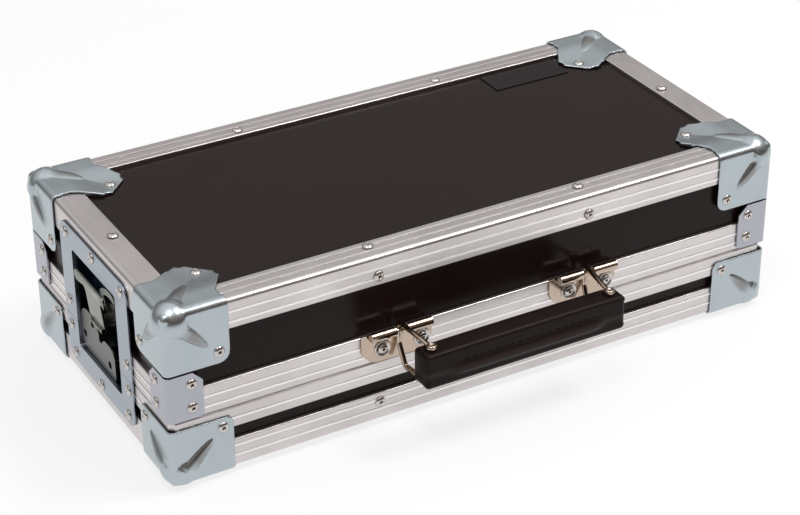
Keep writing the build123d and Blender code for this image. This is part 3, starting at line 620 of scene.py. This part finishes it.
def pressedCorner(node):
    # one skin over the sheet, ball and ridges, blended as a press leaves them
    piece = newPiece(node + "Pressed", meshFrom(weldedWork(node), node + "Shown"))
    skin = piece.modifiers.new("skin", "REMESH")
    skin.mode = "VOXEL"
    skin.voxel_size = cornerLook["grain"]
    calm = piece.modifiers.new("calm", "SMOOTH")
    calm.factor = cornerLook["calming"]
    calm.iterations = cornerLook["passes"]
    settle(piece)
    pressRidges(piece, node)
    piece.data.shade_smooth()
    dress(piece, cornerZinc)
    standFor(piece, node, bodyHolding(node))


for half in ("base", "lid"):
    for place in cornerPlaces:
        pressedCorner(f"{half}_corner_{place}")
print("corners pressed")

extrusionEdge = {"ease": 0.00022, "angle": 32}
sheetLook = {"ease": 0.00035, "angle": 32}
latchLook = {"ease": 0.00035, "angle": 40}
handleLook = {"ease": 0.0003, "angle": 40}
plateLook = {"ease": 0.00025, "angle": 40}

for half in ("base", "lid"):
    for part in ("edge", "rim"):
        for side in ("front", "back", "left", "right"):
            softenedPiece(f"{half}_{part}_{side}", aluminiumFor(side), extrusionEdge)
print("extrusions eased")

for place in cornerPlaces:
    softenedPiece(f"lid_bracket_{place}", bracketZinc, sheetLook)
for end in ("left", "right"):
    softenedPiece(f"latch_dish_{end}", dishZinc, sheetLook)
    softenedPiece(f"keeper_dish_{end}", dishZinc, sheetLook)
    softenedPiece(f"keeper_plate_{end}", keeperZinc, latchLook)
    softenedPiece(f"latch_rotor_{end}", latchNickel, latchLook)
    softenedPiece(f"handle_bracket_{end}", handleNickel, sheetLook)
softenedPiece("name_plate", plateBlack, plateLook)
print("sheet fittings eased")


# latch wings, with their ends curled outwards

wingLook = {"footShare": 0.6, "curlStart": 0.015, "curlRise": 0.0018, "drawIn": 0.10}


def curledWing(end):
    node = f"latch_wing_{end}"
    piece = softenedPiece(node, latchNickel, latchLook)
    low, high = spanOf(node)
    foot = low.z + wingLook["footShare"] * (high.z - low.z)
    outward = -1 if end == "left" else 1
    reach = max(abs(low.y), abs(high.y)) - wingLook["curlStart"]
    for vertex in piece.data.vertices:
        past = abs(vertex.co.y) - wingLook["curlStart"]
        if past > 0 and vertex.co.z > foot:
            share = past / reach
            vertex.co.x += outward * wingLook["curlRise"] * share * share
            vertex.co.y *= 1 - wingLook["drawIn"] * share


for end in ("left", "right"):
    curledWing(end)


# turned parts and stitches, grown at points by node trees

def islandSpans(node):
    # the lowest and highest corner of each separate solid in a node
    work = weldedWork(node)
    seen = set()
    spans = []
    for start in work.verts:
        if start in seen:
            continue
        seen.add(start)
        queue = [start]
        members = []
        while queue:
            vertex = queue.pop()
            members.append(vertex.co.copy())
            for edge in vertex.link_edges:
                other = edge.other_vert(vertex)
                if other not in seen:
                    seen.add(other)
                    queue.append(other)
        low = Vector([min(point[axis] for point in members) for axis in range(3)])
        high = Vector([max(point[axis] for point in members) for axis in range(3)])
        spans.append((low, high))
    work.free()
    return spans


def setCurve(mapping, stops):
    # one curve point for each stop, with straight runs between them
    curve = mapping.curves[0]
    while len(curve.points) > 2:
        curve.points.remove(curve.points[1])
    curve.points[0].location = stops[0]
    curve.points[1].location = stops[-1]
    for stop in stops[1:-1]:
        curve.points.new(*stop)
    for point in curve.points:
        point.handle_type = "VECTOR"
    mapping.update()


def growthTree(name, inputs):
    fixed = [("Geometry", "Geometry", None), ("Finish", "Material", None)]
    return newTree(name, "GeometryNodeTree", fixed + inputs, [("Geometry", "Geometry")])


def finishGrowth(tree, entry, leave, points, shape, **feeds):
    # puts the shape at the points and makes one plain, smooth and dressed mesh of them
    put = addNode(tree, "GeometryNodeInstanceOnPoints", {
        "Points": points.outputs[0], "Instance": shape.outputs[0], **feeds})
    real = addNode(tree, "GeometryNodeRealizeInstances", {0: put.outputs[0]})
    smooth = addNode(tree, "GeometryNodeSetShadeSmooth", {"Geometry": real.outputs[0]})
    dressed = addNode(tree, "GeometryNodeSetMaterial", {
        "Geometry": smooth.outputs[0], "Material": entry["Finish"]})
    feed(tree, leave, {0: dressed.outputs[0]})
    return tree


def turnedTree(name, outline):
    # a turned part at each point; the outline is (radius share, height share), from the
    # middle of the top round to the middle of the back
    tree, entry, leave = growthTree(name, [
        ("Radius", "Float", 0.004),
        ("Height", "Float", 0.0017),
        ("Around", "Int", 28),
        ("Steps", "Int", len(outline)),
        ("Seed", "Int", 3),
    ])
    grid = addNode(tree, "GeometryNodeMeshGrid", {
        "Size X": 1.0, "Size Y": 1.0,
        "Vertices X": entry["Around"], "Vertices Y": entry["Steps"]})
    axes = axesOf(tree, addNode(tree, "GeometryNodeInputPosition", {}).outputs[0])
    turn = maths(tree, "MULTIPLY", axes["X"], -2 * math.pi)
    along = maths(tree, "ADD", axes["Y"], 0.5)
    shares = []
    for which in range(2):
        curve = addNode(tree, "ShaderNodeFloatCurve", {"Value": along})
        setCurve(curve.mapping, [
            (step / (len(outline) - 1), stop[which]) for step, stop in enumerate(outline)])
        shares.append(curve.outputs[0])
    out = maths(tree, "MULTIPLY", shares[0], entry["Radius"])
    spot = addNode(tree, "ShaderNodeCombineXYZ", {
        "X": maths(tree, "MULTIPLY", maths(tree, "COSINE", turn), out),
        "Y": maths(tree, "MULTIPLY", maths(tree, "SINE", turn), out),
        "Z": maths(tree, "MULTIPLY", shares[1], entry["Height"])})
    shape = addNode(tree, "GeometryNodeSetPosition", {
        "Geometry": grid.outputs["Mesh"], "Position": spot.outputs[0]})
    weld = addNode(tree, "GeometryNodeMergeByDistance", {
        "Geometry": shape.outputs[0], "Distance": 0.00001})
    facing = addNode(
        tree, "GeometryNodeInputNamedAttribute", {"Name": "facing"}, data_type="FLOAT_VECTOR")
    align = addNode(
        tree, "FunctionNodeAlignRotationToVector", {"Vector": facing.outputs["Attribute"]},
        axis="Z")
    spin = addNode(
        tree, "FunctionNodeRandomValue", {3: 2 * math.pi, "Seed": entry["Seed"]},
        data_type="FLOAT")
    ownTurn = addNode(tree, "ShaderNodeCombineXYZ", {"Z": spin.outputs[1]})
    extra = addNode(tree, "FunctionNodeEulerToRotation", {0: ownTurn.outputs[0]})
    both = addNode(
        tree, "FunctionNodeRotateRotation",
        {"Rotation": align.outputs[0], "Rotate By": extra.outputs[0]}, rotation_space="LOCAL")
    points = addNode(tree, "GeometryNodeMeshToPoints", {"Mesh": entry["Geometry"]})
    return finishGrowth(tree, entry, leave, points, weld, Rotation=both.outputs[0])


def grownPiece(name, mesh, tree, body, values):
    # runs a node tree over a small mesh and keeps one plain mesh
    piece = newPiece(name, mesh)
    growth = piece.modifiers.new("growth", "NODES")
    growth.node_group = tree
    for item in tree.interface.items_tree:
        if item.in_out == "INPUT" and item.name in values:
            growth[item.identifier] = values[item.name]
    settle(piece)
    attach(piece, body)
    return piece


def turnedParts(name, tree, spots, size, material, body, seed=3):
    # spots are (place, direction) and size is (radius, height)
    mesh = bpy.data.meshes.new(name)
    mesh.from_pydata([tuple(place) for place, way in spots], [], [])
    facing = mesh.attributes.new("facing", "FLOAT_VECTOR", "POINT")
    for index, (place, way) in enumerate(spots):
        facing.data[index].vector = way
    radius, height = size
    return grownPiece(name, mesh, tree, body, {
        "Radius": radius, "Height": height, "Seed": seed, "Finish": material})


# open pop rivets: a flat dome, a rolled rim and the hollow left by the broken mandrel

popHead = turnedTree("popRivetHead", [
    (0.0, 0.05), (0.22, 0.05), (0.28, 0.25), (0.31, 0.86), (0.38, 1.0), (0.48, 0.97),
    (0.62, 0.86), (0.76, 0.70), (0.88, 0.50), (0.96, 0.30), (1.0, 0.14), (1.0, 0.02),
    (0.94, -0.06), (0.60, -0.06), (0.0, -0.06)])
brokenMandrel = turnedTree("brokenMandrel", [
    (0.0, 1.0), (0.8, 1.0), (1.0, 0.9), (1.0, 0.0), (0.0, 0.0)])
popTail = turnedTree("popRivetTail", [
    (0.0, 0.7), (0.30, 0.72), (0.42, 0.98), (0.60, 1.0), (0.80, 0.86), (0.95, 0.55),
    (1.0, 0.25), (0.96, -0.04), (0.60, -0.06), (0.0, -0.06)])
cupWasher = turnedTree("cupWasher", [
    (0.50, 0.10), (0.58, 0.12), (0.70, 0.20), (0.78, 0.60), (0.86, 1.0), (0.93, 0.95),
    (1.0, 0.45), (1.0, 0.0), (0.96, -0.06), (0.52, -0.06), (0.50, 0.10)])

rivetLook = {
    # radius, height
    "head": (0.0040, 0.0017),
    "cuppedHead": (0.0036, 0.0017),
    "tail": (0.0029, 0.0013),
    "cup": (0.0064, 0.0012),
    "mandrel": (0.00115, 0.0007),
    "nearCup": 0.006,
    "washerBelow": 0.0012,      # a solid thinner than this is a washer
    "tailSeed": 5,
}


def rivetSpots(node):
    # where the heads, the tails and the cup washers sit, and which way each faces
    look = rivetLook
    heads, tails, cups = [], [], []
    for low, high in islandSpans(node):
        sizes = list(high - low)
        middle = (low + high) / 2
        washer = min(sizes) < look["washerBelow"]
        axis = sizes.index(min(sizes) if washer else max(sizes))
        way = Vector((0, 0, 0))
        way[axis] = 1 if middle[axis] > (0, 0, caseMiddleZ)[axis] else -1
        near = middle + way * sizes[axis] / 2
        far = middle - way * sizes[axis] / 2
        if washer:
            cups.append((far, way))
        else:
            heads.append((near - way * look["head"][1], way))
            tails.append((far + way * look["tail"][1], -way))
    return heads, tails, cups


def rivetSet(node, body):
    look = rivetLook
    heads, tails, cups = rivetSpots(node)
    plain, cupped = [], []
    for head in heads:
        nearCup = any((head[0] - cup[0]).length < look["nearCup"] for cup in cups)
        (cupped if nearCup else plain).append(head)
    shown = turnedParts(node + "Heads", popHead, plain, look["head"], rivetSteel, body)
    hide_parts(node)
    turnedParts(node + "Mandrels", brokenMandrel, heads, look["mandrel"], mandrelDark, body)
    turnedParts(node + "Tails", popTail, tails, look["tail"], rivetSteel, body, look["tailSeed"])
    if cups:
        turnedParts(
            node + "CuppedHeads", popHead, cupped, look["cuppedHead"], rivetSteel, body)
        turnedParts(node + "Cups", cupWasher, cups, look["cup"], rivetSteel, body)
    print(node, len(heads), "rivets,", len(cups), "washers")


rivetSet("base_rivets", "base")
rivetSet("lid_rivets", "lid")


# handle: rings, tubular pins and the moulded grip

ringLook = {"eyeReach": 0.0045, "blendReach": 0.012, "flatness": 0.52}
pinLook = {"size": (0.0034, 0.0009), "seat": 0.00224}    # radius and height; above the grip


def flattenedRings():
    # the wire ends are hammered flat where the pins go through them
    look = ringLook
    rings = softenedPiece("handle_rings", handleNickel, handleLook)
    pins = [((low + high) / 2).xy for low, high in islandSpans("handle_grip_pins")]
    for vertex in rings.data.vertices:
        spot = vertex.co
        away = min((pin - spot.xy).length for pin in pins)
        share = eased((away - look["eyeReach"]) / (look["blendReach"] - look["eyeReach"]))
        scale = look["flatness"] + (1 - look["flatness"]) * share
        if spot.z > gripHigh.z:
            spot.z = gripHigh.z + (spot.z - gripHigh.z) * scale
        elif spot.z < gripLow.z:
            spot.z = gripLow.z + (spot.z - gripLow.z) * scale


flattenedRings()
tubePin = turnedTree("tubePin", [
    (0.0, 0.1), (0.34, 0.1), (0.42, 0.2), (0.48, 0.85), (0.60, 1.0), (0.78, 0.92),
    (0.93, 0.60), (1.0, 0.20), (0.98, -0.04), (0.60, -0.06), (0.0, -0.06)])


def gripPins():
    heads = []
    for low, high in islandSpans("handle_grip_pins"):
        middle = (low + high) / 2
        for sign in (-1, 1):
            seat = (gripHigh.z if sign > 0 else gripLow.z) + sign * pinLook["seat"]
            heads.append((Vector((middle.x, middle.y, seat)), Vector((0, 0, sign))))
    return heads


pinHeads = turnedParts(
    "gripPinHeads", tubePin, gripPins(), pinLook["size"], handleNickel, "handle")
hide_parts("handle_grip_pins")

gripLook = {
    "sections": 110,
    "crowding": 1.35,           # how much closer the sections stand near the ends
    "around": 56,
    "cornerRound": 0.0042,
    "endRound": 0.0030,
    "crown": 0.0006,
    "frontBack": 0.0027,        # how far the plain front stands behind the ridge
    "backShare": 0.4,
    "ridgeHeight": -0.0036,
    "ridgeSpread": 0.0028,
    "grooveHeight": 0.0032,
    "grooveSpread": 0.0009,
    "grooveDepth": 0.0006,
    "mouldingEnd": 0.066,       # where the ridge and the groove have faded out
    "mouldingFade": 0.016,
    "stitchRun": (-0.048, 0.060),
    "stitchProud": 0.0001,
    "stitchLength": 0.0040,
    "stitchPitch": 0.0060,
    "stitchThickness": 0.0007,
}


def gripRing(halfDepth, halfHeight, corner, count):
    # points and outward directions round a rounded oblong, by equal steps of its outline
    flatY = halfDepth - corner
    flatZ = halfHeight - corner
    quarter = corner * math.pi / 2
    runs = [2 * flatZ, quarter, 2 * flatY, quarter] * 2
    total = sum(runs)
    ring = []
    for step in range(count):
        left = (step + 0.5) / count * total
        index = 0
        while left > runs[index]:
            left -= runs[index]
            index += 1
        side, onCorner = divmod(index, 2)
        upright = side % 2 == 0
        half = flatZ if upright else flatY
        if onCorner:
            angle = left / corner
            way = Vector((-math.cos(angle), math.sin(angle)))
            spot = Vector((-(flatY if upright else flatZ), half)) + corner * way
        else:
            way = Vector((-1, 0))
            spot = Vector((-(halfDepth if upright else halfHeight), -half + left))
        spin = Matrix.Rotation(-math.pi / 2 * side, 2)
        ring.append((spin @ spot, spin @ way))
    return ring


def bellAt(place, middle, spread):
    return math.exp(-(((place - middle) / spread) ** 2))


def mouldedGrip():
    look = gripLook
    ring = gripRing(gripHalf.y, gripHalf.z, look["cornerRound"], look["around"])
    work = bmesh.new()
    rows = []
    for section in range(look["sections"] + 1):
        share = section / look["sections"] * 2 - 1
        share = math.copysign(1 - (1 - abs(share)) ** look["crowding"], share)
        along = share * gripHalf.x
        past = max(0.0, abs(along) - (gripHalf.x - look["endRound"]))
        inset = look["endRound"] - math.sqrt(max(0.0, look["endRound"] ** 2 - past ** 2))
        fade = eased((look["mouldingEnd"] - abs(along)) / look["mouldingFade"])
        crown = -look["crown"] * share ** 2
        row = []
        for spot, way in ring:
            front = max(0.0, -way.x)
            back = max(0.0, way.x)
            ridge = fade * bellAt(spot.y, look["ridgeHeight"], look["ridgeSpread"])
            groove = fade * bellAt(spot.y, look["grooveHeight"], look["grooveSpread"])
            shift = -look["frontBack"] * (1 - ridge) * (front + look["backShare"] * back)
            shift -= look["grooveDepth"] * groove * front
            lift = crown if way.y > 0.5 else 0.0
            across, up = spot + (shift - inset) * way
            row.append(work.verts.new(gripMiddle + Vector((along, across, up + lift))))
        rows.append(row)
    for first, second in zip(rows, rows[1:]):
        for step in range(look["around"]):
            after = (step + 1) % look["around"]
            work.faces.new((first[step], first[after], second[after], second[step]))
    work.faces.new(list(reversed(rows[0])))
    work.faces.new(rows[-1])
    bmesh.ops.recalc_face_normals(work, faces=work.faces)
    grip = newPiece("gripBody", meshFrom(work, "gripBody"))
    dress(grip, gripSkin)
    grip.data.shade_smooth()
    grip.data.set_sharp_from_angle(angle=sharpAngle)
    standFor(grip, "handle_grip", "handle")


def stitchTree():
    # short thread ends at even steps along a line
    tree, entry, leave = growthTree("stitchRow", [
        ("Pitch", "Float", 0.005),
        ("Length", "Float", 0.003),
        ("Thickness", "Float", 0.0005),
    ])
    path = addNode(tree, "GeometryNodeMeshToCurve", {"Mesh": entry["Geometry"]})
    spaced = addNode(
        tree, "GeometryNodeResampleCurve",
        {"Curve": path.outputs[0], "Length": entry["Pitch"]}, mode="LENGTH")
    stitch = addNode(
        tree, "GeometryNodeMeshUVSphere", {"Segments": 10, "Rings": 6, "Radius": 0.5})
    size = addNode(tree, "ShaderNodeCombineXYZ", {
        "X": entry["Length"], "Y": entry["Thickness"], "Z": entry["Thickness"]})
    return finishGrowth(tree, entry, leave, spaced, stitch, Scale=size.outputs[0])


def gripStitches():
    look = gripLook
    y = gripLow.y + look["frontBack"] + look["grooveDepth"] + look["stitchProud"]
    z = gripMiddle.z + look["grooveHeight"]
    mesh = bpy.data.meshes.new("gripStitches")
    mesh.from_pydata([(gripMiddle.x + end, y, z) for end in look["stitchRun"]], [(0, 1)], [])
    grownPiece("gripStitches", mesh, stitchTree(), "handle", {
        "Pitch": look["stitchPitch"], "Length": look["stitchLength"],
        "Thickness": look["stitchThickness"] * 2, "Finish": threadBlack})


mouldedGrip()
gripStitches()
print("handle made")


# floor lining: looped pile glued to the bottom panel

liningLook = {
    "stepsX": 170,
    "stepsY": 76,
    "pile": 0.0006,
    "pressedEdge": 0.0008,
    "loops": 420,
    "loopSlice": 0.3,
}


def floorLining():
    low, high = spanOf("base_floor_pad")
    look = liningLook
    work = bmesh.new()
    top = []
    for row in range(look["stepsY"] + 1):
        line = []
        for column in range(look["stepsX"] + 1):
            x = low.x + (high.x - low.x) * column / look["stepsX"]
            y = low.y + (high.y - low.y) * row / look["stepsY"]
            edge = row in (0, look["stepsY"]) or column in (0, look["stepsX"])
            rough = noise.noise(Vector((x, y, look["loopSlice"])) * look["loops"])
            drop = look["pressedEdge"] if edge else look["pile"] * (0.5 + 0.5 * rough)
            line.append(work.verts.new((x, y, high.z - drop)))
        top.append(line)
    for first, second in zip(top, top[1:]):
        for column in range(look["stepsX"]):
            work.faces.new((
                first[column], first[column + 1], second[column + 1], second[column]))
    rim = [edge for edge in work.edges if edge.is_boundary]
    wall = bmesh.ops.extrude_edge_only(work, edges=rim)
    for item in wall["geom"]:
        if isinstance(item, bmesh.types.BMVert):
            item.co.z = low.z
    bottom = [edge for edge in work.edges if edge.is_boundary]
    bmesh.ops.holes_fill(work, edges=bottom, sides=0)
    bmesh.ops.recalc_face_normals(work, faces=work.faces)
    lining = newPiece("floorLining", meshFrom(work, "floorLining"))
    dress(lining, floorPile)
    lining.data.shade_smooth()
    lining.data.set_sharp_from_angle(angle=sharpAngle)
    standFor(lining, "base_floor_pad", "base")


floorLining()
print("lining laid")


# room, light and camera

room = {
    "floorReach": 6.0,
    "floorColour": (0.86, 0.86, 0.86, 1.0),
    "floorWhite": 0.78,
    "skyStops": [
        # height of the direction, colour
        (0.0, (0.20, 0.185, 0.175, 1.0)),
        (0.35, (0.34, 0.325, 0.315, 1.0)),
        (0.62, (0.76, 0.75, 0.74, 1.0)),
        (0.88, (1.0, 1.0, 1.0, 1.0)),
    ],
    "frontTint": (0.40, 0.33, 0.29),
    "frontSpread": (0.15, 0.70),
    "lampAim": (0, 0, 0.06),
}

lamps = {
    # name: place, size, power in watts, colour, shown in reflections
    "leftLamp": ((-0.50, -0.60, 1.9), (0.55, 0.55), 9.0, (1.0, 0.98, 0.97), True),
    "rightLamp": ((0.90, -0.55, 1.9), (0.55, 0.55), 18.0, (1.0, 0.98, 0.97), True),
    "frontLamp": ((1.4, -1.8, 1.1), (1.4, 1.0), 10.0, (1.0, 0.97, 0.95), False),
}

cameraPlace = {
    "location": (-0.7029, -1.2357, 0.8709),
    "turn": (59.84, 0.28, -29.68),
    "lens": 100.94,
    "sensor": 36.0,
}


def seenRays(tree):
    # one for what the eye sees, straight, in metal or through glass
    rays = addNode(tree, "ShaderNodeLightPath", {}).outputs
    direct = maths(tree, "ADD", rays["Is Camera Ray"], rays["Is Glossy Ray"])
    return maths(tree, "ADD", direct, rays["Is Transmission Ray"], use_clamp=True)


def makeFloor():
    low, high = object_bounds()
    reach = room["floorReach"]
    mesh = bpy.data.meshes.new("paleFloor")
    corners = [(-1, -1), (1, -1), (1, 1), (-1, 1)]
    mesh.from_pydata([(x * reach, y * reach, low.z) for x, y in corners], [], [(0, 1, 2, 3)])
    material = bpy.data.materials.new("paleFloor")
    material.use_nodes = True
    tree = material.node_tree
    shader = tree.nodes["Principled BSDF"]
    feed(tree, shader, {"Base Color": room["floorColour"], "Roughness": 0.9})
    # the floor is white to the eye and in the metal, and keeps part of the case's soft shadow
    share = maths(tree, "MULTIPLY", seenRays(tree), room["floorWhite"])
    glow = addNode(tree, "ShaderNodeEmission", {})
    mixer = addNode(tree, "ShaderNodeMixShader", {
        0: share, 1: shader.outputs[0], 2: glow.outputs[0]})
    feed(tree, tree.nodes["Material Output"], {"Surface": mixer.outputs[0]})
    floor = newPiece("paleFloor", mesh)
    dress(floor, material)


def makeWorld():
    # dim near the ground and bright overhead, with a browner room in front
    world = bpy.data.worlds.new("studio")
    bpy.context.scene.world = world
    world.use_nodes = True
    tree = world.node_tree
    axes = axesOf(tree, addNode(tree, "ShaderNodeTexCoord", {}).outputs["Generated"])
    ramp = addNode(tree, "ShaderNodeValToRGB", {0: axes["Z"]})
    stops = room["skyStops"]
    ends = ramp.color_ramp.elements
    ends[0].position, ends[0].color = stops[0]
    ends[1].position, ends[1].color = stops[-1]
    for position, colour in stops[1:-1]:
        ends.new(position).color = colour
    forward = maths(tree, "MULTIPLY", axes["Y"], -1.0)
    share = remap(tree, forward, 0.0, 1.0, *room["frontSpread"])
    tint = mixColours(tree, share, (1.0, 1.0, 1.0), room["frontTint"])
    sky = mixColours(tree, 1.0, ramp.outputs[0], tint, blend_type="MULTIPLY")
    feed(tree, tree.nodes["Background"], {"Color": sky})


def makeLamps():
    for name, (place, size, power, colour, mirrored) in lamps.items():
        data = bpy.data.lights.new(name, "AREA")
        data.shape = "RECTANGLE"
        data.size, data.size_y = size
        data.energy = power
        data.color = colour
        lamp = newPiece(name, data)
        lamp.location = place
        lamp.visible_glossy = mirrored
        aim = Vector(room["lampAim"]) - Vector(place)
        lamp.rotation_euler = aim.to_track_quat("-Z", "Y").to_euler()


def makeCamera():
    data = bpy.data.cameras.new("camera")
    data.lens = cameraPlace["lens"]
    data.sensor_width = cameraPlace["sensor"]
    data.sensor_fit = "HORIZONTAL"
    camera = newPiece("camera", data)
    camera.location = cameraPlace["location"]
    camera.rotation_euler = [math.radians(angle) for angle in cameraPlace["turn"]]
    bpy.context.scene.camera = camera


makeFloor()
makeWorld()
makeLamps()
makeCamera()
bpy.context.scene.view_settings.view_transform = "Standard"
print("room, lamps and camera set")
